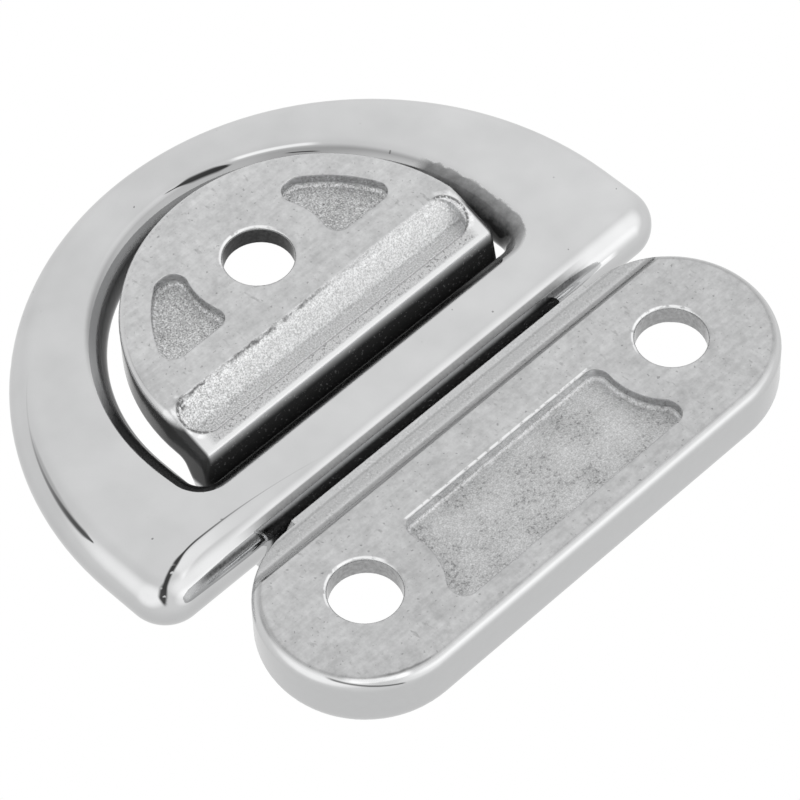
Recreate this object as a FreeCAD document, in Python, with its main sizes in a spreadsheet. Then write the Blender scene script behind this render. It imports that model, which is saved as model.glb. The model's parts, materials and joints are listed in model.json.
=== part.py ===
import FreeCAD, Part
import Sketcher
import math
import os
import re

# Folding pad eye: a cast base plate that bolts down over the straight bar of a D ring.
# The deck face of the base lies in the XY plane, the hump over the bar points up, and the
# origin is the centre of the bolt circle. The bar lies along X. Millimetres and degrees.
sizes = {
    # three countersunk bolts, equally spaced on one circle
    "bolt_circle": 56.8,
    "bolt_bore": 8.5,
    "bore_land": 2.7,
    "screw_head": 17.4,
    "rim_round": 0.35,
    # heel: the oblong plate that carries two of the bolts
    "heel_radius": 12.6,
    "heel_thick": 8.4,
    "heel_round": 2.5,
    "foot_round": 1.5,
    # shallow ledge along the heel's edge beside the bar
    "ledge_width": 3.0,
    "ledge_slope": 0.85,
    "ledge_depth": 0.6,
    # cored pocket between the heel's bolts
    "heel_pocket_near": 3.5,
    "heel_pocket_far": 8.85,
    "heel_pocket_end": 6.6,
    "heel_boss": 9.0,
    "heel_corner": 1.7,
    "pocket_depth": 1.8,
    "floor_round": 0.5,
    # tongue: the half-moon plate inside the ring, as wide as the bridge
    "tongue_nose": 13.0,
    "tongue_straight": 0.3,
    "tongue_thick": 7.4,
    "tongue_round": 2.0,
    "tongue_rim": 3.8,
    "tongue_boss": 8.9,
    "tongue_pocket_tip": 7.3,
    "tongue_pocket_near": 4.4,
    "tongue_pocket_wall": 4.2,
    "tongue_corner": 1.75,
    # sloping relief and rough trough under the tongue's edge beside the bar
    "relief_length": 6.85,
    "relief_rise": 2.65,
    "trough_rim": 1.7,
    "trough_depth": 3.0,
    "trough_slope": 45.0,
    "trough_corner": 2.2,
    "land_width": 1.8,
    "land_round": 0.9,
    # bridge: the hump over the ring's bar, and the channel under it
    "axis_height": 7.25,
    "heel_gap": 3.0,
    "bar_play": 0.4,
    "bridge_wall": 4.6,
    "flank_slope": 66.0,
    "heel_flare": 2.45,
    "tongue_flare": 0.75,
    "tongue_root": 0.3,
    "heel_root": 1.2,
    "lower_round": 1.0,
    # D ring: a crescent with flat faces and fully rounded edges
    "bar_width": 10.4,
    "ring_thick": 7.2,
    "arm_width": 15.8,
    "crown_width": 9.2,
    "eye_play": 1.8,
    "eye_corner": 2.2,
    "shoulder_corner": 4.9,
    "edge_flat": 0.2,
}

# places that several features share, each worked out from the sizes
heel_x = "(bolt_circle / 2 * cos(30))"
heel_y = "(bolt_circle / 2 * sin(30))"
tongue_bolt = "(0 - bolt_circle / 2)"
axis_y = f"({heel_y} - heel_radius - heel_gap - bar_width / 2)"
channel = "(bar_width / 2 + bar_play)"
crown = "(bar_width / 2 + bar_play + bridge_wall)"
flank_z = f"(axis_height + {crown} * cos(flank_slope))"
flank_foot = f"({axis_y} - {crown} * sin(flank_slope) - ({flank_z} - tongue_thick) / tan(flank_slope))"
tongue_y = f"({flank_foot} - tongue_straight)"
half_width = f"({tongue_y} - {tongue_bolt} + tongue_nose)"
heel_mouth = f"({axis_y} + {channel} + heel_flare)"
tongue_mouth = f"({axis_y} - {channel} - tongue_flare)"
relief_y = f"({tongue_mouth} - relief_length)"
land_y = f"({tongue_mouth} - land_width)"
below = "(0 - 1)"
corner_room = 0.63      # most of a short edge that two rounded corners can take
tip_room = 0.4          # the same where one of the corners is sharp

doc = FreeCAD.newDocument("pad_eye")
sheet = doc.addObject("Spreadsheet::Sheet", "Sizes")
for row, (alias, value) in enumerate(sizes.items(), 1):
    sheet.set(f"A{row}", alias)
    sheet.set(f"B{row}", str(value))
    sheet.setAlias(f"B{row}", alias)
doc.recompute()


# an expression with every alias looked up in the spreadsheet
def in_sheet(text):
    return re.sub(r"\b(" + "|".join(sizes) + r")\b", r"Sizes.\1", text)


def value(text):
    return float(sheet.evalExpression(text))


def bind(obj, prop, text):
    obj.setExpression(prop, in_sheet(text))


def plane(body, role):
    return next(f for f in body.Origin.OriginFeatures if f.Role == role)


# fixes one coordinate of a point, or a radius, to an expression
def hold(sketch, kind, geo, point, text):
    number = value(text)
    if kind == "Radius":
        index = sketch.addConstraint(Sketcher.Constraint(kind, geo, number))
    elif abs(number) < 1e-9:
        axis = -2 if kind == "DistanceX" else -1
        sketch.addConstraint(Sketcher.Constraint("PointOnObject", geo, point, axis))
        return
    else:
        index = sketch.addConstraint(Sketcher.Constraint(kind, -1, 1, geo, point, number))
    bind(sketch, f"Constraints[{index}]", text)


# a closed outline: each step is a corner (x, y, what is held) and how the outline leaves it,
# None for a line, or (centre x, centre y, radius, turn) for an arc, turn 1 anticlockwise
def draw(sketch, steps):
    spots = [FreeCAD.Vector(value(x), value(y), 0) for (x, y, held), leave in steps]
    ends = []
    for i, ((x, y, held), leave) in enumerate(steps):
        start, stop = spots[i], spots[(i + 1) % len(spots)]
        if leave is None:
            geo = sketch.addGeometry(Part.LineSegment(start, stop), False)
            ends.append((geo, 1, 2))
            continue
        cx, cy, radius, turn = leave
        centre = FreeCAD.Vector(value(cx), value(cy), 0)
        first, last = (start, stop) if turn > 0 else (stop, start)
        a = math.atan2(first.y - centre.y, first.x - centre.x)
        b = math.atan2(last.y - centre.y, last.x - centre.x)
        circle = Part.Circle(centre, FreeCAD.Vector(0, 0, 1), value(radius))
        geo = sketch.addGeometry(Part.ArcOfCircle(circle, a, b if b > a else b + 2 * math.pi), False)
        ends.append((geo, 1, 2) if turn > 0 else (geo, 2, 1))
        hold(sketch, "DistanceX", geo, 3, cx)
        hold(sketch, "DistanceY", geo, 3, cy)
        hold(sketch, "Radius", geo, 3, radius)
    for i, ((x, y, held), leave) in enumerate(steps):
        geo, begin, finish = ends[i]
        after, start_after, finish_after = ends[(i + 1) % len(ends)]
        sketch.addConstraint(Sketcher.Constraint("Coincident", geo, finish, after, start_after))
        if "x" in held:
            hold(sketch, "DistanceX", geo, begin, x)
        if "y" in held:
            hold(sketch, "DistanceY", geo, begin, y)


def new_sketch(body, name, role, *outlines):
    sketch = body.newObject("Sketcher::SketchObject", name)
    sketch.AttachmentSupport = [(plane(body, role), "")]
    sketch.MapMode = "FlatFace"
    for outline in outlines:
        draw(sketch, outline)
    doc.recompute()
    if sketch.solve() != 0 or not sketch.FullyConstrained:
        raise RuntimeError(f"{name} is not fully constrained")
    return sketch


# adds a feature as the body's tip and checks that it changed the solid
def feature(body, kind, name, profile=None, **settings):
    before = body.Shape.Volume if not body.Shape.isNull() else 0.0
    made = body.newObject(f"PartDesign::{kind}", name)
    if profile is not None:
        made.Profile = profile
    for prop, setting in settings.items():
        if isinstance(setting, str) and prop not in ("Type", "SideType"):
            bind(made, prop, setting)
        else:
            setattr(made, prop, setting)
    body.Tip = made
    doc.recompute()
    if made.State and "Invalid" in made.State or "Error" in made.State:
        raise RuntimeError(f"{name} failed")
    if abs(body.Shape.Volume - before) < 1e-3:
        raise RuntimeError(f"{name} changed nothing")
    return made


def edges(made, test):
    return [f"Edge{i}" for i, edge in enumerate(made.Shape.Edges, 1) if test(edge.BoundBox, edge)]


def fillet(body, name, radius, test):
    base = body.Tip
    return feature(body, "Fillet", name, Base=(base, edges(base, test)), Radius=radius)


def near(a, b, slack=0.02):
    return abs(a - b) < slack


def upright(box):
    return box.XLength < 0.02 and box.YLength < 0.02


# the base casting
base = doc.addObject("PartDesign::Body", "base_casting")
base.Label = "base_casting"

heel = new_sketch(base, "heel_outline", "XY_Plane", [
    ((f"0 - {heel_x}", f"{heel_y} - heel_radius", "x"), None),
    ((heel_x, f"{heel_y} - heel_radius", "x"), (heel_x, heel_y, "heel_radius", 1)),
    ((heel_x, f"{heel_y} + heel_radius", "x"), None),
    ((f"0 - {heel_x}", f"{heel_y} + heel_radius", "x"), (f"0 - {heel_x}", heel_y, "heel_radius", 1)),
])
feature(base, "Pad", "heel", heel, Length="heel_thick")
heel_top = value("heel_thick")
fillet(base, "heel_top_edge", "heel_round", lambda box, e: near(box.ZMin, heel_top))
fillet(base, "heel_foot_edge", "foot_round", lambda box, e: near(box.ZMax, 0))

hump_end = f"({axis_y} + sqrt({crown}^2 - (heel_thick - axis_height)^2))"
hump = new_sketch(base, "bridge_profile", "YZ_Plane", [
    ((heel_y, "0", "xy"), None),
    ((heel_y, "heel_thick", "xy"), None),
    ((hump_end, "heel_thick", "y"),
     (axis_y, "axis_height", crown, 1)),
    ((f"{axis_y} - {crown} * sin(flank_slope)", flank_z, "y"), None),
    ((flank_foot, "tongue_thick", "xy"), None),
    ((tongue_y, "tongue_thick", "xy"), None),
    ((tongue_y, "0", "xy"), None),
])
feature(base, "Pad", "bridge", hump, Length=f"2 * {half_width}", SideType="Symmetric")

tongue = new_sketch(base, "tongue_outline", "XY_Plane", [
    ((half_width, f"{axis_y} - {crown}", "xy"), None),
    ((half_width, tongue_y, "y"), ("0", tongue_y, half_width, -1)),
    ((f"0 - {half_width}", tongue_y, "y"), None),
    ((f"0 - {half_width}", f"{axis_y} - {crown}", "xy"), None),
])
feature(base, "Pad", "tongue", tongue, Length="tongue_thick")

# the hump flows into both plates, and one rounded edge runs round the tongue and over the hump
tongue_top = value("tongue_thick")
side = value(half_width)
root = value(flank_foot)
fillet(base, "tongue_root_edge", "tongue_root",
       lambda box, e: box.XLength > 1.9 * side and near(box.ZMax, tongue_top) and near(box.YMin, root, 0.3))


def on_rim(box, e):
    over_hump = near(box.XLength, 0) and near(abs(box.XMin), side) and box.YMax < value(heel_y) - 1
    on_heel = near(box.ZMin, heel_top) and near(box.ZMax, heel_top) or box.YMin > 0
    round_tongue = e.Curve.TypeId == "Part::GeomCircle" and near(box.ZMax, tongue_top) and box.YMax < root
    return box.ZMin > tongue_top - 0.02 and (round_tongue or over_hump and not on_heel)


fillet(base, "tongue_rim_edge", "tongue_round", on_rim)
hump_foot = value(hump_end)
fillet(base, "heel_root_edge", "heel_root",
       lambda box, e: box.XLength > side and near(box.YMin, hump_foot) and near(box.YMax, hump_foot))

# channel for the bar, open to the deck
bar_channel = new_sketch(base, "channel_profile", "YZ_Plane", [
    ((heel_mouth, below, "xy"), None),
    ((heel_mouth, "0", "xy"), None),
    ((f"{axis_y} + {channel}", "axis_height", "y"), (axis_y, "axis_height", channel, 1)),
    ((f"{axis_y} - {channel}", "axis_height", "y"), None),
    ((tongue_mouth, "relief_rise", "xy"), None),
    ((tongue_mouth, below, "xy"), None),
])
feature(base, "Pocket", "bar_channel", bar_channel, Length=f"4 * {half_width}", SideType="Symmetric")

# a rough trough along the tongue's edge beside the bar, with rounded ends
slope_foot = f"({relief_y} + trough_depth / tan(trough_slope))"
trough = new_sketch(base, "trough_profile", "YZ_Plane", [
    ((relief_y, below, "xy"), None),
    ((relief_y, "0", "xy"), None),
    ((slope_foot, "trough_depth", "xy"), None),
    ((land_y, "trough_depth", "xy"), None),
    ((land_y, below, "xy"), None),
])
feature(base, "Pocket", "trough", trough, Length=f"2 * ({half_width} - trough_rim)", SideType="Symmetric")
trough_end = f"({half_width} - trough_rim)"
inner_end = f"({half_width} - trough_rim - trough_corner)"
back_y = f"({relief_y} + trough_corner)"
front_y = f"({land_y} - trough_corner)"
rim_middle = f"({half_width} - trough_rim / 2)"


# material left in one end of the trough, right for 1 and left for -1
def rounded_end(hand):
    def across(text):
        return text if hand > 0 else f"(0 - {text})"
    inner, end, middle = across(inner_end), across(trough_end), across(rim_middle)
    return [
        ((inner, relief_y, "x"), (inner, back_y, "trough_corner", hand)),
        ((end, back_y, "y"), None),
        ((end, front_y, "y"), (inner, front_y, "trough_corner", hand)),
        ((inner, land_y, "x"), None),
        ((middle, land_y, "xy"), None),
        ((middle, relief_y, "xy"), None),
    ]


rounded = new_sketch(base, "trough_end_outline", "XY_Plane", rounded_end(1), rounded_end(-1))
feature(base, "Pad", "trough_ends", rounded, Length="trough_depth")

# the tongue's underside rises towards the channel
relief = new_sketch(base, "relief_profile", "YZ_Plane", [
    ((relief_y, "0", "xy"), None),
    ((relief_y, below, "xy"), None),
    ((axis_y, below, "xy"), None),
    ((axis_y, f"relief_rise * ({axis_y} - {relief_y}) / relief_length", "xy"), None),
])
feature(base, "Pocket", "relief", relief, Length=f"4 * {half_width}", SideType="Symmetric")
mouth_y = value(tongue_mouth)
fillet(base, "land_edge", "land_round",
       lambda box, e: near(box.YMin, mouth_y) and near(box.YMax, mouth_y) and box.XLength > side)

# shallow ledge on the heel
ledge = new_sketch(base, "ledge_profile", "YZ_Plane", [
    ((f"{heel_mouth} + ledge_width + ledge_slope", "0", "xy"), None),
    ((f"{heel_mouth} + ledge_width", "ledge_depth", "xy"), None),
    ((axis_y, "ledge_depth", "xy"), None),
    ((axis_y, below, "xy"), None),
    ((f"{heel_mouth} + ledge_width + ledge_slope", below, "xy"), None),
])
feature(base, "Pocket", "ledge", ledge, Length="4 * (bolt_circle + heel_radius)", SideType="Symmetric")

# cored pockets in the deck face
boss_x = f"({heel_x} - sqrt(heel_boss^2 - heel_pocket_near^2))"
end_x = f"({heel_x} - heel_pocket_end)"
waist_y = f"({heel_y} + sqrt(heel_boss^2 - heel_pocket_end^2))"
heel_core = new_sketch(base, "heel_pocket_outline", "XY_Plane", [
    ((f"0 - {boss_x}", f"{heel_y} - heel_pocket_near", "y"), None),
    ((boss_x, f"{heel_y} - heel_pocket_near", "y"), (heel_x, heel_y, "heel_boss", -1)),
    ((end_x, waist_y, "x"), None),
    ((end_x, f"{heel_y} + heel_pocket_far", "xy"), None),
    ((f"0 - {end_x}", f"{heel_y} + heel_pocket_far", "xy"), None),
    ((f"0 - {end_x}", waist_y, "x"), (f"0 - {heel_x}", heel_y, "heel_boss", -1)),
])
feature(base, "Pocket", "heel_pocket", heel_core, Length="pocket_depth", Reversed=True)
floor = value("pocket_depth")


def pocket_corner(box, e):
    return upright(box) and near(box.ZMin, 0) and near(box.ZMax, floor)


heel_corner = f"min(heel_corner; {corner_room} * ({heel_y} + heel_pocket_far - {waist_y}))"
fillet(base, "heel_pocket_corners", heel_corner, pocket_corner)
far_y = f"({tongue_bolt} - tongue_nose + tongue_pocket_tip)"
near_y = f"min({tongue_bolt} + tongue_pocket_near; {relief_y} - tongue_pocket_wall)"
relief_edge = value(relief_y)
outer = f"({half_width} - tongue_rim)"
tip_in = f"sqrt(tongue_boss^2 - ({far_y} - {tongue_bolt})^2)"
tip_out = f"sqrt({outer}^2 - ({far_y} - {tongue_y})^2)"
tongue_core = new_sketch(base, "tongue_pocket_outline", "XY_Plane", [
    ((tip_in, far_y, "y"), None),
    ((tip_out, far_y, "y"), ("0", tongue_y, outer, 1)),
    ((f"sqrt({outer}^2 - ({near_y} - {tongue_y})^2)", near_y, "y"), None),
    ((f"sqrt(tongue_boss^2 - ({near_y} - {tongue_bolt})^2)", near_y, "y"),
     ("0", tongue_bolt, "tongue_boss", -1)),
])
tongue_pocket = feature(base, "Pocket", "tongue_pocket", tongue_core, Length="pocket_depth", Reversed=True)
feature(base, "Mirrored", "tongue_pockets", Originals=[tongue_pocket],
        MirrorPlane=(plane(base, "YZ_Plane"), [""]))
tongue_corner = f"min(tongue_corner; {tip_room} * ({tip_out} - {tip_in}))"
fillet(base, "tongue_pocket_corners", tongue_corner,
       lambda box, e: pocket_corner(box, e) and box.YMax < relief_edge)
fillet(base, "pocket_floors", f"min(floor_round; 0.8 * {heel_corner}; 0.8 * {tongue_corner})",
       lambda box, e: near(box.ZMin, floor) and near(box.ZMax, floor)
       and (box.YMax < relief_edge or box.YMin > value(heel_mouth)))

# bolt holes: a short plain bore at the deck, then the countersink and its sunk mouth
sink = "((screw_head - bolt_bore) / 2)"
bore = new_sketch(base, "bolt_profile", "YZ_Plane", [
    ((tongue_bolt, below, "xy"), None),
    ((tongue_bolt, "2 * heel_thick", "xy"), None),
    ((f"{tongue_bolt} + screw_head / 2", "2 * heel_thick", "xy"), None),
    ((f"{tongue_bolt} + screw_head / 2", f"bore_land + {sink}", "xy"), None),
    ((f"{tongue_bolt} + bolt_bore / 2", "bore_land", "xy"), None),
    ((f"{tongue_bolt} + bolt_bore / 2", below, "xy"), None),
])
bolt_hole = feature(base, "Groove", "bolt_hole", bore, ReferenceAxis=(bore, ["Edge1"]), Angle=360.0)
feature(base, "PolarPattern", "bolt_holes", Originals=[bolt_hole],
        Axis=(plane(base, "Z_Axis"), [""]), Angle=360.0, Occurrences=3)
fillet(base, "bore_rims", "rim_round",
       lambda box, e: near(box.ZMax, 0) and near(box.XLength, value("bolt_bore")))


# the tongue's foot, the relief's sides and the rims of the channel's ends, as one chain
def on_lower_rim(box, e):
    foot = near(box.ZMax, 0) and near(box.YMin, value(f"{tongue_bolt} - tongue_nose"))
    at_side = box.XLength < 0.2 and near(max(abs(box.XMin), abs(box.XMax)), side)
    before_heel = box.YMin > relief_edge - 0.02 and box.YMax < value(f"{axis_y} + {channel}") + 0.02
    under_hump = box.ZMax < value(f"axis_height + {channel}") + 0.02
    in_channel = box.ZMin < value("relief_rise") or box.YMin > mouth_y
    return foot or at_side and before_heel and under_hump and in_channel and not upright(box)


fillet(base, "lower_rim_edge", "lower_round", on_lower_rim)

# the D ring
ring = doc.addObject("PartDesign::Body", "d_ring")
ring.Label = "d_ring"
bar_heel = f"({axis_y} + bar_width / 2)"
bar_tongue = f"({axis_y} - bar_width / 2)"
eye = f"({half_width} + eye_play)"
ring_radius = f"({eye} + arm_width)"
ring_y = f"({tongue_y} - {eye} - crown_width + {ring_radius})"
plan = new_sketch(ring, "ring_plan", "XY_Plane", [
    ((f"0 - {ring_radius}", bar_heel, "xy"), None),
    ((ring_radius, bar_heel, "xy"), None),
    ((ring_radius, ring_y, "y"), ("0", ring_y, ring_radius, -1)),
    ((f"0 - {ring_radius}", ring_y, "y"), None),
], [
    ((f"0 - {eye}", bar_tongue, "xy"), None),
    ((eye, bar_tongue, "xy"), None),
    ((eye, tongue_y, "y"), ("0", tongue_y, eye, -1)),
    ((f"0 - {eye}", tongue_y, "y"), None),
])
bind(plan, "AttachmentOffset.Base.z", "axis_height")
feature(ring, "Pad", "ring_blank", plan, Length="ring_thick", SideType="Symmetric")
bar_y = value(axis_y)
fillet(ring, "shoulders", "shoulder_corner", lambda box, e: upright(box) and box.YMin > bar_y)
fillet(ring, "eye_corners", "eye_corner",
       lambda box, e: upright(box) and near(box.YMin, value(bar_tongue)) and near(abs(box.XMin), value(eye)))
top, bottom = value("axis_height + ring_thick / 2"), value("axis_height - ring_thick / 2")
fillet(ring, "rolled_edges", "ring_thick / 2 - edge_flat / 2",
       lambda box, e: near(box.ZMin, top) or near(box.ZMax, bottom))

for made in doc.Objects:
    if "Invalid" in made.State or "Error" in made.State:
        raise RuntimeError(f"{made.Name} is in error")
os.makedirs("parts", exist_ok=True)
for body in (base, ring):
    if body.Shape.isNull() or not body.Shape.isValid():
        raise RuntimeError(f"{body.Label} has no valid shape")
    body.Shape.exportStep(f"parts/{body.Label}.step")
    print(body.Label, "volume", round(body.Shape.Volume), "mm3")
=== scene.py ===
import bpy
import json
import math
from mathutils import Matrix
from types import SimpleNamespace


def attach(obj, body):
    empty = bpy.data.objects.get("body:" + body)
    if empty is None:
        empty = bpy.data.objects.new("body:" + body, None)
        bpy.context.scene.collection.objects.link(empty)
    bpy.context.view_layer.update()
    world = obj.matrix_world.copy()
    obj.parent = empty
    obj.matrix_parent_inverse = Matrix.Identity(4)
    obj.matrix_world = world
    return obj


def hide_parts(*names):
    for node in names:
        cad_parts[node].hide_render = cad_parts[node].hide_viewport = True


# Folding pad eye, seen from the side that lies on the deck: a cast base and a polished D ring.

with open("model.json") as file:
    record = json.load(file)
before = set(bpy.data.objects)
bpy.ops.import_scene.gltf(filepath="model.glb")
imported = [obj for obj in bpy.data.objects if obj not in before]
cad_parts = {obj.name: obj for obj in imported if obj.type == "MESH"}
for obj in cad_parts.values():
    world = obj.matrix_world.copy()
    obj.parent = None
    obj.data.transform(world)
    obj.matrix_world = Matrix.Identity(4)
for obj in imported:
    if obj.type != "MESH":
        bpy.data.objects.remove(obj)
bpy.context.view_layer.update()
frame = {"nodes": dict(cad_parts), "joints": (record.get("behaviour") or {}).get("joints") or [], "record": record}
bpy.ops.object.select_all(action="DESELECT")
scene = bpy.context.scene
scene.view_settings.view_transform = "Standard"
print("frame loaded:", ", ".join(frame["nodes"]))


# Camera: below the deck plane, as the photo was taken of the upturned fitting
cameraSetup = {
    "position": (-0.21765, 0.22868, -0.41328),
    "right": (0.70851, 0.70523, 0.02578),
    "up": (0.57259, -0.55313, -0.60513),
    "back": (-0.41250, 0.44350, -0.79571),
    "lens": 206.34,
}


def addCamera():
    data = bpy.data.cameras.new("photoCamera")
    data.lens = cameraSetup["lens"]
    data.sensor_width = 36.0
    data.clip_start = 0.01
    data.clip_end = 20.0
    camera = bpy.data.objects.new("photoCamera", data)
    axes = Matrix((cameraSetup["right"], cameraSetup["up"], cameraSetup["back"])).transposed()
    camera.matrix_world = Matrix.Translation(cameraSetup["position"]) @ axes.to_4x4()
    scene.collection.objects.link(camera)
    scene.camera = camera


addCamera()
print("camera placed")


# Shader maths: wraps a socket so that expressions on it add the nodes
class Wire:
    def __init__(self, tree, socket):
        self.tree = tree
        self.socket = socket

    def math(self, operation, *others, first=None):
        node = self.tree.nodes.new("ShaderNodeMath")
        node.operation = operation
        values = [self if first is None else first, *others]
        for i, v in enumerate(values):
            plug(self.tree, node.inputs[i], v)
        return Wire(self.tree, node.outputs[0])

    def __add__(self, other):
        return self.math("ADD", other)

    def __radd__(self, other):
        return self.math("ADD", self, first=other)

    def __sub__(self, other):
        return self.math("SUBTRACT", other)

    def __rsub__(self, other):
        return self.math("SUBTRACT", self, first=other)

    def __mul__(self, other):
        return self.math("MULTIPLY", other)

    def __rmul__(self, other):
        return self.math("MULTIPLY", self, first=other)

    def __truediv__(self, other):
        return self.math("DIVIDE", other)

    def __pow__(self, other):
        return self.math("POWER", other)

    def __abs__(self):
        return self.math("ABSOLUTE")

    def least(self, other):
        return self.math("MINIMUM", other)

    def most(self, other):
        return self.math("MAXIMUM", other)

    def step(self, low, high):              # 0 below low, 1 above high, smooth between
        node = self.tree.nodes.new("ShaderNodeMapRange")
        node.interpolation_type = "SMOOTHSTEP"
        plug(self.tree, node.inputs["Value"], self)
        plug(self.tree, node.inputs["From Min"], low)
        plug(self.tree, node.inputs["From Max"], high)
        return Wire(self.tree, node.outputs["Result"])

    def above(self, edge, soft):            # 1 above the edge; soft is half the width of the change
        return self.step(edge - soft, edge + soft)

    def below(self, edge, soft):
        return 1 - self.above(edge, soft)

    def between(self, low, high, soft):
        return self.above(low, soft) * self.below(high, soft)

    def line(self, core, reach):            # 1 within core of zero, 0 beyond reach
        return 1 - abs(self).step(core, reach)

    def toward(self, other, share):         # blend to another tone
        return self + (other - self) * share


def plug(tree, socket, value):
    if isinstance(value, Wire):
        tree.links.new(value.socket, socket)
    else:
        socket.default_value = value


# One node tree: nodes by type, settings and inputs
class Nodes:
    def __init__(self, tree):
        self.tree = tree
        tree.nodes.clear()

    def node(self, kind, settings=None, **inputs):
        made = self.tree.nodes.new(kind)
        for key, setting in (settings or {}).items():
            setattr(made, key, setting)
        for key, v in inputs.items():
            plug(self.tree, made.inputs[key.replace("_", " ")], v)
        return made

    def wire(self, made, output=0):
        return Wire(self.tree, made.outputs[output])

    def mix(self, share, first, second):    # of two shaders
        made = self.node("ShaderNodeMixShader", Fac=share)
        plug(self.tree, made.inputs[1], self.wire(first))
        plug(self.tree, made.inputs[2], self.wire(second))
        return made


# Both steels: tint of red against blue, and a weak shine where shade is painted in as dark colour without metal
# shine
steelLook = {
    "warmth": 0.995,
    "paintedShadeShine": 0.1,
}


# One material: lengths are in millimetres
class Shader(Nodes):
    def __init__(self, name):
        self.material = bpy.data.materials.new(name)
        self.material.use_nodes = True
        super().__init__(self.material.node_tree)
        spot = self.wire(self.node("ShaderNodeTexCoord"), "Object")
        scaled = self.node("ShaderNodeVectorMath", {"operation": "SCALE"}, Vector=spot, Scale=1000.0)
        self.place = self.wire(scaled)
        axes = self.node("ShaderNodeSeparateXYZ", Vector=self.place)
        self.x, self.y, self.z = (self.wire(axes, k) for k in "XYZ")

    def noise(self, size, detail, seed, rough=0.5, stretch=(1, 1, 1)):      # size is one blot's
        shift = (seed, seed * 0.7, -seed)
        spot = self.wire(self.node("ShaderNodeMapping", Vector=self.place, Location=shift, Scale=stretch))
        made = self.node("ShaderNodeTexNoise", Vector=spot, Scale=1.0 / size, Detail=detail, Roughness=rough)
        return self.wire(made)

    def reach(self, cx, cy):                # distance from an upright axis
        return ((self.x - cx) ** 2.0 + (self.y - cy) ** 2.0) ** 0.5

    def grey(self, value, warm):
        made = self.node("ShaderNodeCombineColor", Red=value * warm, Green=value, Blue=value * (2 - warm))
        return self.wire(made)

    def bump(self, height, depth, strength, normal=None):
        made = self.node("ShaderNodeBump", Strength=strength, Distance=depth / 1000, Height=height)
        if normal is not None:
            plug(self.tree, made.inputs["Normal"], normal)
        return self.wire(made)

    def finish(self, surface):
        self.node("ShaderNodeOutputMaterial", Surface=self.wire(surface))
        return self.material

    def steel(self, tone, paintedShadeMatte, rough, normal):     # this mask is 1 where shade is painted in, as dark colour on steel without metal shine
        return self.finish(self.node(
            "ShaderNodeBsdfPrincipled",
            Base_Color=self.grey(tone, steelLook["warmth"]),
            Metallic=1 - paintedShadeMatte,
            Roughness=rough,
            Normal=normal,
            Specular_IOR_Level=steelLook["paintedShadeShine"],
        ))


def speckled(tone, noises, amounts):        # adds each named noise about its middle
    for name, amount in amounts.items():
        tone = tone + (getattr(noises, name) - 0.5) * amount
    return tone


# Bolts and bar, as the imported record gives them
mounts = {m["name"]: m["dims"] for m in frame["record"]["mounts"]}
boltCircle = mounts["bolts"]["pcd_mm"] / 2
boltAngles = (-90, 30, 150)             # the tongue's, then the heel's right and left
barY, barZ = (c * 1000 for c in frame["joints"][0]["pos_m"][1:])

# Cast steel of the base: ground deck face, grainy cores, rough channel with painted shade, polished outside, and
# painted shade and painted highlights in places
castLook = {
    "deckGrey": 0.56,
    "coreGrey": 0.54,
    "troughGrey": 0.67,
    "ledgeGrey": 0.56,
    "outsideGrey": 0.62,
    # painted shade: the channel near black with a lighter lip, the tongue's side and the bore walls dark
    "channelShadeGrey": 0.022,
    "channelLip": 0.40,
    "sideShadeGrey": 0.04,
    "tongueBoreShadeGrey": 0.048,
    "heelBoreShadeGrey": 0.38,
    # level of the painted highlights, also the lightest tone
    "rubbedGrey": 0.95,
    "deckRoughness": 0.34,
    "coreRoughness": 0.55,
    "outsideRoughness": 0.13,
    "grainSize": 0.2,
    "grainDepth": 0.07,
    "edgeRound": 0.3,
    "deckBlots": {"cloud": 0.16, "mottle": 0.22, "rub": 0.14, "patch": 0.22, "specks": 0.12},
    # places in mm: from, to and wall are along y, half is along x, depth and side are along z
    "faceDepth": 0.12,
    "heelPocket": {"from": 10.4, "to": 23.3, "half": 18.2, "wall": 11.05},
    "tonguePocket": {"radius": 19.8, "end": -23.9, "fromBolt": 8.7},
    "pocketWall": (0.28, 1.35),
    "pocketFloor": (1.35, 2.3),
    "trough": {"middle": -17.4, "half": 19.9, "radius": 2.5, "depth": 3.45},
    "land": {"from": -14.95, "to": -13.6, "half": 21.1},
    "ledge": {"from": 1.3, "to": 4.6, "depth": 0.75},
    "slope": {"from": 4.0, "to": 5.25},
    # heelRim: places of a band of painted shade along the heel's rim
    "heelRim": {"from": 5.3, "depth": 0.27, "fromBolt": 5.3},
    "channel": {"from": -13.0, "to": 1.2, "radius": 6.8, "lip": 1.8},
    "tongue": {"middle": (0.0, -18.0), "radius": 22.7, "straight": (-18.4, -12.8), "side": (0.9, 8.5)},
    "boreWall": {"radius": 4.4, "depths": (0.3, 3.0)},
    "rubbedRim": {"radius": 4.5, "pocket": (10.34, 10.62), "half": 14.9},
    "crevice": {"y": -19.65, "wander": 0.9, "half": 21.55, "depth": 1.0},
    "scar": {"middle": (-21.0, -19.3), "radius": 0.625},
    # places of painted dark lines and painted highlights round the trough's ends and on the heel's left rim
    "troughEnd": {"line": (2.3, 2.62), "glint": (2.7, 3.2)},
    "heelDarkLine": {"x": (-35.4, -29.8), "depth": 0.32, "rise": 0.095},
    "heelCurl": {"x": (-31.4, -25.6), "radius": 11.45, "wander": 0.4},
    "heelSheen": {"x": (-34.2, -28.8), "radii": (11.65, 12.3)},
}
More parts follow.
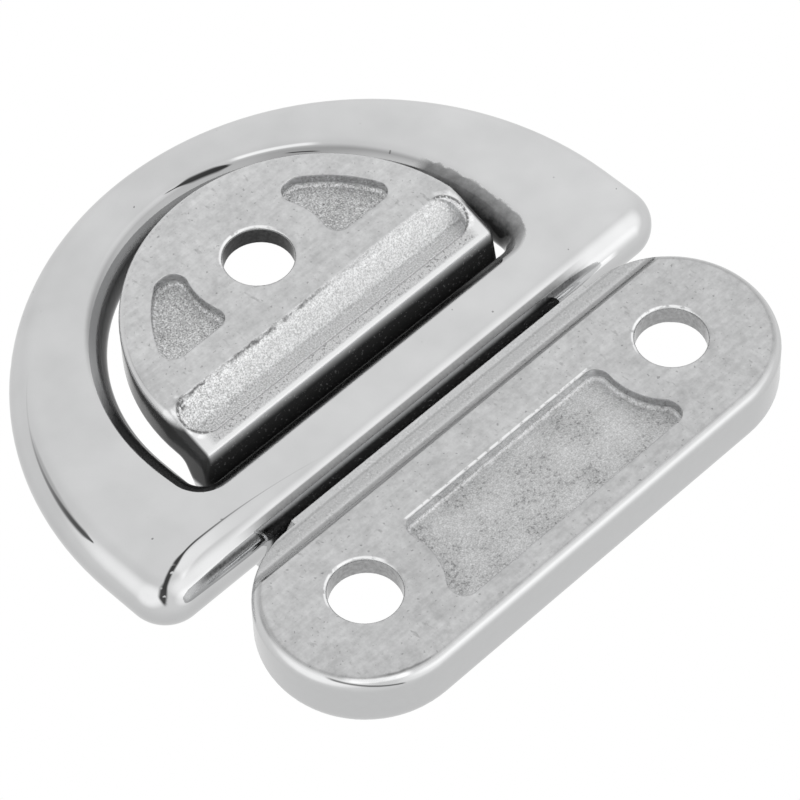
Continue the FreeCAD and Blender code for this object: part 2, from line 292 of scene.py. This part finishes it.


# Where each finish of the casting lies, and where shade is painted in
def castAreas(shader, look):
    x, y, z = shader.x, shader.y, shader.z
    wide = abs(x)
    turns = [math.radians(t) for t in boltAngles]
    tongueBolt, rightBolt, leftBolt = (
        shader.reach(boltCircle * math.cos(t), boltCircle * math.sin(t)) for t in turns
    )
    heelBolt = rightBolt.least(leftBolt)
    heel, lobe, dip, land = look["heelPocket"], look["tonguePocket"], look["trough"], look["land"]
    ledge, slope, slot, tongue = look["ledge"], look["slope"], look["channel"], look["tongue"]
    bore = look["boreWall"]
    tongueReach = shader.reach(*tongue["middle"])

    area = SimpleNamespace(wide=wide, tongueBolt=tongueBolt, heelBolt=heelBolt, leftBolt=leftBolt)
    area.heelCore = y.between(heel["from"], heel["to"], 0.1) * wide.below(heel["half"], 0.1)
    area.tongueCore = tongueReach.below(lobe["radius"], 0.1) * y.below(lobe["end"], 0.1)
    area.tongueCore = area.tongueCore * tongueBolt.above(lobe["fromBolt"], 0.1)
    cores = area.heelCore.most(area.tongueCore)
    area.coreFloor = cores * z.between(*look["pocketFloor"], 0.2)
    area.coreWall = cores * z.between(*look["pocketWall"], 0.1)
    area.upperWall = area.heelCore * y.below(heel["wall"], 0.25)

    area.inTrough = z.below(dip["depth"], 0.15)
    area.troughReach = ((wide - dip["half"]).most(0.0) ** 2.0 + (y - dip["middle"]) ** 2.0) ** 0.5
    area.trough = area.troughReach.below(dip["radius"], 0.2) * area.inTrough
    area.land = y.between(land["from"], land["to"], 0.15) * wide.below(land["half"], 0.7) * area.inTrough
    shallow = z.below(ledge["depth"], 0.05)
    area.ledge = y.between(ledge["from"], ledge["to"], 0.2) * shallow
    area.slope = y.between(slope["from"], slope["to"], 0.08) * shallow
    area.deck = z.below(look["faceDepth"], 0.08) * (1 - area.trough)
    rim = look["heelRim"]
    area.heelRim = z.above(0.04, 0.04) * z.below(rim["depth"], 0.15) * y.above(rim["from"], 0.1)
    area.heelRim = area.heelRim * (1 - cores) * heelBolt.above(rim["fromBolt"], 0.3)

    fromBar = ((y - barY) ** 2.0 + (z - barZ) ** 2.0) ** 0.5
    mouth = y.between(slot["from"], slot["to"], 0.15) * z.above(slot["lip"], 1.6) * z.below(barZ + 0.05, 0.3)
    area.channel = mouth.most(fromBar.below(slot["radius"], 0.6))
    edge = tongueReach.above(tongue["radius"], 0.2) * y.below(-17.8, 0.1)
    edge = edge.most(wide.above(tongue["radius"], 0.2) * y.between(*tongue["straight"], 0.1))
    area.tongueSide = edge * z.between(*tongue["side"], 0.5) * y.above(-30.0, 4.0)
    boreLength = z.between(*bore["depths"], 0.15)
    area.tongueBore = tongueBolt.below(bore["radius"], 0.1) * boreLength
    area.heelBore = heelBolt.below(bore["radius"], 0.1) * boreLength
    return area


# What casting, grinding and handling left on it, and painted highlights and painted dark lines
def castWearAndPaintedLight(shader, look, area, spots):
    x, y, z = shader.x, shader.y, shader.z
    wearAndPaintedLight = SimpleNamespace()

    # painted highlights on the edges of the bores and of the heel pocket's upper side
    rim = look["rubbedRim"]
    boreRims = (area.tongueBolt - rim["radius"]).line(0.03, 0.22) * y.below(-30.3, 0.7)
    boreRims = boreRims.most((area.heelBolt - rim["radius"]).line(0.03, 0.22) * y.below(12.9, 0.5))
    pocketRim = y.between(*rim["pocket"], 0.07) * area.wide.below(rim["half"], 0.5) * z.below(0.07, 0.03)
    wearAndPaintedLight.rubbed = (boreRims * z.below(0.4, 0.1)).most(pocketRim)

    # torn edge above the trough with painted shade in its crevice, broken and fading to the right, and a scar at
    # its left end
    crack, scar = look["crevice"], look["scar"]
    nearFace = z.below(crack["depth"], 0.2)
    raggedShade = (y - crack["y"] + (spots.wander - 0.5) * crack["wander"]).line(0.03, 0.3)
    wearAndPaintedLight.crevice = raggedShade * spots.broken.above(0.52, 0.1) * x.below(4.0, 10.0)
    wearAndPaintedLight.crevice = wearAndPaintedLight.crevice * area.wide.below(crack["half"], 0.35) * nearFace
    wearAndPaintedLight.scar = shader.reach(*scar["middle"]).below(scar["radius"], 0.375) * nearFace

    # specks on the land, a broken painted dark line round the trough's ends and painted highlights outside it
    wearAndPaintedLight.landDots = y.between(-14.75, -13.7, 0.3) * spots.specks.above(0.61, 0.05)
    wearAndPaintedLight.landDots = wearAndPaintedLight.landDots * area.wide.below(21.3, 0.3) * area.inTrough
    wearAndPaintedLight.endLine = area.troughReach.between(*look["troughEnd"]["line"], 0.1) * area.wide.above(20.1, 0.5)
    wearAndPaintedLight.endLine = wearAndPaintedLight.endLine * spots.specks.above(0.42, 0.08)
    wearAndPaintedLight.endGlint = area.troughReach.between(*look["troughEnd"]["glint"], 0.15) * area.wide.above(20.6, 0.4)
    wearAndPaintedLight.endGlint = wearAndPaintedLight.endGlint * y.below(-14.9, 0.5) * spots.mottle.above(0.45, 0.15)

    # painted dark lines and a painted highlight (sheen) on the rim at the heel's left end
    crease, curl, sheen = look["heelDarkLine"], look["heelCurl"], look["heelSheen"]
    low = (z - crease["depth"] - (x - crease["x"][0]) * crease["rise"]).line(0.02, 0.13)
    low = low * x.between(*crease["x"], 0.3) * y.above(19.0, 0.5)
    high = (area.leftBolt - curl["radius"] + (spots.wander - 0.5) * curl["wander"]).line(0.03, 0.26)
    high = high * x.between(*curl["x"], 1.0) * y.above(20.5, 0.5) * z.below(0.065, 0.035) * 0.6
    wearAndPaintedLight.crease = low.most(high)
    wearAndPaintedLight.sheen = area.leftBolt.between(*sheen["radii"], 0.12) * x.between(*sheen["x"], 0.7)
    wearAndPaintedLight.sheen = wearAndPaintedLight.sheen * y.above(20.5, 0.5) * z.below(0.325, 0.075) * (0.4 + spots.rub) * (1 - high)
    return wearAndPaintedLight


def castTone(shader, look, area, spots, wearAndPaintedLight):
    x, y, z = shader.x, shader.y, shader.z
    deckTone = speckled(look["deckGrey"] * (0.985 - (y + 20.0) * 0.0014), spots, look["deckBlots"])
    deckTone = deckTone - spots.pits.above(0.69, 0.03) * 0.2
    deckTone = deckTone - spots.flecks.above(0.66, 0.06) * spots.cloud.above(0.525, 0.075) * 0.15
    tone = (look["outsideGrey"] + (spots.mottle - 0.5) * 0.03).toward(deckTone, area.deck)

    coreTone = look["coreGrey"] + (spots.grain - 0.5) * (0.8 + area.tongueCore * 0.9)
    coreTone = coreTone + (spots.specks - 0.5) * (0.35 + area.tongueCore * 0.45) + (spots.cloud - 0.5) * 0.3
    coreTone = coreTone - area.heelCore * spots.pits.above(0.60, 0.06) * spots.cloud.below(0.52, 0.10) * 0.16
    # grainy pocket floors; painted shade on the pocket walls, the heel pocket's upper wall painted lighter, with a
    # painted highlight at its foot
    tone = tone.toward(coreTone, area.coreFloor) * (1 - area.coreWall * (0.34 - area.upperWall * 0.5))
    tone = tone * (1 + area.upperWall * z.between(1.4, 1.7, 0.06) * 0.3)
    # painted shade in a band along the heel's rim
    tone = tone * (1 - area.heelRim * (0.1 + spots.patch * 0.24))

    leftward = x.below(-12.0, 8.0)
    troughTone = look["troughGrey"] + (spots.grain - 0.5) * (1.3 + leftward * 0.7)
    troughTone = troughTone + (spots.mottle - 0.5) * 0.14
    # painted shade and painted light in bands across the trough
    troughTone = troughTone * (1 - y.between(-17.1, -15.5, 0.15) * 0.14)
    troughTone = troughTone * (1 + y.between(-19.3, -18.85, 0.1) * 0.08)
    tone = tone.toward(troughTone, area.trough)
    tone = tone.toward(look["troughGrey"] * 0.66 + (spots.grain - 0.5) * 0.5, area.land)

    ledgeTone = look["ledgeGrey"] + (spots.grain - 0.5) * 0.3 - y.between(2.2, 3.6, 0.25) * 0.08
    ledgeTone = ledgeTone + (spots.specks - 0.5) * 0.5 * spots.mottle.above(0.51, 0.11)
    # painted shade at the slope's foot, over the slope and in lines along the ledge and the slope
    foot = y.between(4.95, 5.3, 0.08) * z.below(0.6, 0.1) * (1 - x.above(2.0, 14.0) * 0.6)
    shadeLines = (y.between(2.15, 2.45, 0.08) * area.ledge).most(y.between(4.15, 4.5, 0.08) * area.slope)
    tone = tone.toward(ledgeTone, area.ledge) * (1 - area.slope * (0.2 + spots.mottle * 0.16))
    tone = tone * (1 - foot * 0.17) * (1 - shadeLines * 0.17)

    # painted shade in the crevice and round the trough's ends, painted highlights outside them, and a painted dark
    # line and painted highlight on the heel's left rim; dark specks and the scar's pits are marks on the steel
    pitted = wearAndPaintedLight.scar * spots.pits.above(0.475, 0.075)
    marks = wearAndPaintedLight.crevice.most(wearAndPaintedLight.landDots * 0.7).most(pitted).most(wearAndPaintedLight.endLine)
    tone = tone * (1 - marks * 0.72) * (1 + wearAndPaintedLight.endGlint * 0.3) * (1 - wearAndPaintedLight.crease * 0.75)
    tone = tone.toward(look["rubbedGrey"], wearAndPaintedLight.sheen.least(0.8))
    # painted shade: the channel near black and lighter towards its lip, and the tongue's side dark
    channelShadeTone = look["channelShadeGrey"] + spots.specks.above(0.66, 0.06) * 0.14
    channelShadeTone = channelShadeTone + look["channelLip"] * z.below(3.35, 0.95)
    tone = tone.toward(channelShadeTone, area.channel).toward(look["sideShadeGrey"], area.tongueSide)
    # painted highlights on the edges of the bores and of the heel pocket
    tone = tone.toward(look["rubbedGrey"], wearAndPaintedLight.rubbed * spots.mottle.above(0.43, 0.07) * 0.8)
    # painted shade in the bores
    tone = tone.toward(look["tongueBoreShadeGrey"] + (spots.pits - 0.5) * 0.08, area.tongueBore)
    tone = tone.toward(look["heelBoreShadeGrey"] + (spots.pits - 0.5) * 0.3, area.heelBore)
    return tone.most(0.01).least(look["rubbedGrey"])


def castSteelMaterial():
    look = castLook
    shader = Shader("castSteel")
    spots = SimpleNamespace(
        cloud=shader.noise(4.5, 3.0, 3.0),
        patch=shader.noise(2.2, 4.0, 83.0, 0.65),
        mottle=shader.noise(0.9, 3.0, 11.0),
        grain=shader.noise(look["grainSize"], 3.0, 5.0, 0.7),
        pits=shader.noise(0.5, 2.0, 23.0),
        rub=shader.noise(1.0, 2.0, 31.0, 0.6, (0.12, 1.6, 1.0)),
        wander=shader.noise(1.1, 3.0, 41.0),
        broken=shader.noise(3.2, 4.0, 47.0, 0.7, (1.0, 2.2, 1.0)),
        flecks=shader.noise(0.7, 3.0, 61.0, 0.6, (1.0, 0.4, 1.0)),
        specks=shader.noise(0.34, 2.0, 71.0, 0.6),
    )
    area = castAreas(shader, look)
    wearAndPaintedLight = castWearAndPaintedLight(shader, look, area, spots)
    tone = castTone(shader, look, area, spots, wearAndPaintedLight)

    grainy = area.coreFloor.most(area.trough).most(area.ledge * 0.5)
    rough = look["outsideRoughness"] + area.deck * (look["deckRoughness"] - look["outsideRoughness"])
    rough = rough.toward(look["coreRoughness"], grainy.most(area.channel))
    rough = (rough + (spots.mottle - 0.5) * 0.08).most(0.05)
    rounded = shader.wire(shader.node("ShaderNodeBevel", {"samples": 6}, Radius=look["edgeRound"] / 1000))
    height = spots.grain * grainy + spots.mottle * area.deck * 0.12 - wearAndPaintedLight.crevice.most(wearAndPaintedLight.scar) * 0.9
    normal = shader.bump(height, look["grainDepth"], 0.8, rounded)
    # painted shade areas lose their metal shine, so their dark colour shows
    paintedShadeMatte = area.channel.most(area.tongueSide).most(area.tongueBore)
    return shader.steel(tone, paintedShadeMatte * 0.95, rough, normal)


# Mirror-polished steel of the ring
ringLook = {
    "grey": 0.612,
    "roughness": 0.05,
    "waviness": 0.012,
    "flankShade": 0.62,
    "innerShade": 0.42,
    "innerWallShade": 0.07,
    "glint": 0.95,
    # places in mm: the eye's middle and radius, the bar's edge, and two painted dark reflection lines as arcs (x,
    # y, radius)
    "middle": (0.0, -11.4),
    "eyeRadius": 36.1,
    "barEdge": -3.45,
    "leftArc": (-6.07, -12.82, 33.24),
    "crownArc": (-1.75, -17.01, 28.71),
}


# Painted reflections on the ring: dark lines along the bar, up the left arm and under the crown, and painted
# highlights beside the bar and under the crown
def paintedReflections(shader, look):
    x, y, z = shader.x, shader.y, shader.z
    left = x.below(-25.75, 8.75)
    bend = y + 6.13 - (x + 31.0) ** 2.0 * (0.0058 + 0.035 * x.below(-31.0, 0.6))
    barWidth = 0.05 + left * 0.06 + x.below(-34.1, 1.1) * 0.18 + x.below(-38.1, 0.5) * 0.25
    notches = shader.noise(0.8, 1.0, 13.0).above(0.41, 0.05).most(x.above(-35.5, 0.5))
    barLine = (bend / barWidth).line(0.5, 1.6) * x.above(-39.15, 0.15) * (0.12 + left * 0.88)
    barLine = barLine * x.below(-15.0, 3.0) * notches

    cx, cy, radius = look["leftArc"]
    upArm = y.above(-27.5, 10.5)
    armWidth = 0.06 + upArm ** 3.0 * 0.16 * y.below(-15.4, 1.1)
    armLine = ((shader.reach(cx, cy) - radius) / armWidth).line(0.4, 1.8) * x.below(-30.0, 2.0)
    armLine = armLine * y.below(-14.5, 0.2) * (0.1 + upArm ** 2.0 * 0.85)

    cx, cy, radius = look["crownArc"]
    onCrown = y.below(-36.4, 0.4)
    fromArc = shader.reach(cx, cy) - radius
    crownWidth = 0.05 + x.between(3.4, 8.8, 1.4) * 0.27
    crownLine = (fromArc / crownWidth).line(0.5, 1.5) * onCrown
    crownLine = crownLine * (x.between(1.0, 9.4, 0.5) + x.between(15.6, 18.2, 0.5))

    marks = SimpleNamespace()
    marks.creases = barLine.most(armLine).most(crownLine) * z.below(5.3, 0.3)
    marks.crownGlint = (fromArc - 0.45 - (x - 10.0) * 0.05).line(0.06, 0.26)
    marks.crownGlint = marks.crownGlint * x.between(10.2, 18.6, 0.9) * onCrown
    marks.barGlint = bend.between(0.25, 1.7, 0.2) * x.above(-35.7, 0.5) * x.below(-28.5, 8.5)
    marks.barGlint = marks.barGlint * z.below(4.0, 0.05)
    return marks


def polishedSteelMaterial():
    look = ringLook
    shader = Shader("polishedSteel")
    x, y, z = shader.x, shader.y, shader.z
    cloud = shader.noise(7.0, 2.0, 5.0)
    fine = shader.noise(0.35, 2.0, 9.0)
    pits = shader.noise(0.9, 1.0, 17.0).above(0.80, 0.01)
    # painted light: lighter towards +x and +y; clouds and dark pits vary at random
    tone = look["grey"] * (1.0 + x * 0.0005 + (y + 25.0) * 0.0012) + (cloud - 0.5) * 0.14 - pits * 0.3

    # the bar's flank towards the heel: painted shade, leaf-like painted dark reflections and a painted highlight
    # along a rim
    onFlank = y.above(look["barEdge"], 0.15)
    flank = onFlank * abs(x).below(25.5, 3.5) * z.between(3.98, 4.44, 0.08)
    tone = tone * (1 - flank * (look["flankShade"] + (z - 4.05) * 0.45 + (fine - 0.5) * 0.12))
    leaf = z.between(4.66, 5.1, 0.14) * x.between(-34.0, -23.0, 1.5)
    leaf = leaf.most(z.between(4.42, 5.02, 0.1) * x.between(19.0, 27.0, 2.0)) * onFlank
    leafRim = z.between(5.25, 5.75, 0.1) * abs(x).between(21.5, 32.0, 1.0) * onFlank
    tone = tone * (1 - leaf * (0.45 + fine * 0.5)) * (1 + leafRim * 0.5)

    # wall inside the eye: painted shade on its rounding, dark painted shade without metal shine above it, and a
    # ragged patch of painted shade at the right corner
    inner = shader.reach(*look["middle"]).below(look["eyeRadius"], 0.5) * y.below(-9.0, 0.6)
    lowWall = z.below(8.3, 0.5)
    tone = tone * (1 - inner * x.above(-23.0, 5.0) * z.between(3.9, 5.2, 0.13) * look["innerShade"])
    innerWallShade = inner * z.above(4.95, 0.45) * lowWall
    ragged = shader.noise(1.3, 4.0, 29.0, 0.7)
    raggedEdge = (z + (ragged - 0.5) * 0.35 - (22.0 - x).most(0.0) * 0.05).above(3.81, 0.05)
    raggedShade = inner * x.above(16.5, 3.5) * y.between(-27.0, -10.6, 1.0) * raggedEdge * lowWall
    raggedShadeTone = (0.30 - (z - 3.7) * 0.13 + (ragged - 0.5) * 0.3).most(0.04)
    tone = tone.toward(look["innerWallShade"], innerWallShade).toward(raggedShadeTone, raggedShade)

    marks = paintedReflections(shader, look)
    # painted dark reflection lines, and painted highlights beside the bar and under the crown
    tone = tone * (1 - marks.creases * 0.92) * (1 + marks.barGlint * 0.3)
    tone = tone.toward(look["glint"], marks.crownGlint * 0.9).least(0.97).most(0.03)
    rough = (look["roughness"] + (fine - 0.5) * 0.03 + (cloud - 0.5) * 0.03).most(0.02)
    # painted shade inside the eye loses its metal shine, so its dark colour shows
    return shader.steel(tone, innerWallShade.most(raggedShade) * 0.9, rough, shader.bump(cloud, look["waviness"], 1.0))


castSteel = castSteelMaterial()
polishedSteel = polishedSteelMaterial()
print("materials made")

smoothAngle = 30        # degrees between faces that still shade as one
mergeDistance = 1e-6    # metres between corners that are one


# Copies of the CAD nodes with their corners merged, so that they shade smoothly
def smoothCopy(node, name, body, material):
    mesh = frame["nodes"][node].data.copy()
    mesh.name = name
    piece = bpy.data.objects.new(name, mesh)
    scene.collection.objects.link(piece)
    mesh.materials.clear()
    mesh.materials.append(material)
    bpy.ops.object.select_all(action="DESELECT")
    bpy.context.view_layer.objects.active = piece
    piece.select_set(True)
    if mesh.has_custom_normals:
        bpy.ops.mesh.customdata_custom_splitnormals_clear()
    bpy.ops.object.mode_set(mode="EDIT")
    bpy.ops.mesh.select_all(action="SELECT")
    bpy.ops.mesh.remove_doubles(threshold=mergeDistance)
    bpy.ops.object.mode_set(mode="OBJECT")
    bpy.ops.object.shade_smooth_by_angle(angle=math.radians(smoothAngle))
    piece.select_set(False)
    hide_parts(node)
    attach(piece, body)
    print(name, "made,", len(mesh.polygons), "faces")


smoothCopy("base_casting", "castBase", "base", castSteel)
smoothCopy("d_ring", "dRing", "ring", polishedSteel)


# Floor: the deck plane, seen only from above it, so that the photo's side stays open
floorSetup = {
    "size": 6.0,
    "drop": 0.0002,
    "colour": (0.86, 0.86, 0.86, 1.0),
}


def addFloor():
    bpy.ops.mesh.primitive_plane_add(size=floorSetup["size"], location=(0, 0, -floorSetup["drop"]))
    floor = bpy.context.active_object
    floor.name = "floor"
    shader = Shader("paleFloor")
    pale = shader.node("ShaderNodeBsdfDiffuse", Color=floorSetup["colour"])
    clear = shader.node("ShaderNodeBsdfTransparent")
    path = shader.node("ShaderNodeLightPath")
    side = shader.node("ShaderNodeNewGeometry")
    shown = shader.wire(path, "Is Camera Ray") * (1 - shader.wire(side, "Backfacing"))
    floor.data.materials.append(shader.finish(shader.mix(shown, clear, pale)))
    floor.select_set(False)


addFloor()


# Light tent: white all round and a little dimmer above the deck, with brighter panels and a dim gap.
# Each is azimuth and elevation in degrees (up is -Z, as in the photo), outer and inner size, strength.
tent = {
    "level": 0.93,
    "belowLevel": 0.81,
    "panels": (
        (56, 44, 46, 4, 0.42),
        (180, 30, 48, 16, 0.45),
        (80, 14, 34, 6, 0.30),
        (315, 30, 50, 10, 0.08),
    ),
    "gaps": ((243, 33, 12, 3, 0.3),),
    "white": (1, 1, 1, 1),
}


def addWorld():
    world = bpy.data.worlds.new("lightTent")
    world.use_nodes = True
    nodes = Nodes(world.node_tree)
    way = nodes.wire(nodes.node("ShaderNodeTexCoord"), "Generated")

    def facing(toward):
        dot = nodes.node("ShaderNodeVectorMath", {"operation": "DOT_PRODUCT"}, Vector=way)
        dot.inputs[1].default_value = toward
        return nodes.wire(dot, "Value")

    def lobe(azimuth, elevation, outer, inner):
        turn, rise = math.radians(azimuth), math.radians(elevation)
        toward = (math.cos(rise) * math.cos(turn), math.cos(rise) * math.sin(turn), -math.sin(rise))
        return facing(toward).step(math.cos(math.radians(outer)), math.cos(math.radians(inner)))

    high = facing((0, 0, -1)).step(-0.9, 0.0)
    level = tent["belowLevel"] + high * (tent["level"] - tent["belowLevel"])
    for azimuth, elevation, outer, inner, gain in tent["panels"]:
        level = level + lobe(azimuth, elevation, outer, inner) * gain
    for azimuth, elevation, outer, inner, loss in tent["gaps"]:
        level = level * (1 - lobe(azimuth, elevation, outer, inner) * loss)
    seen = nodes.node("ShaderNodeBackground", Color=tent["white"])
    light = nodes.node("ShaderNodeBackground", Color=tent["white"], Strength=level)
    shown = nodes.mix(nodes.wire(nodes.node("ShaderNodeLightPath"), "Is Camera Ray"), light, seen)
    nodes.node("ShaderNodeOutputWorld", Surface=nodes.wire(shown))
    scene.world = world


addWorld()
print("stage set")
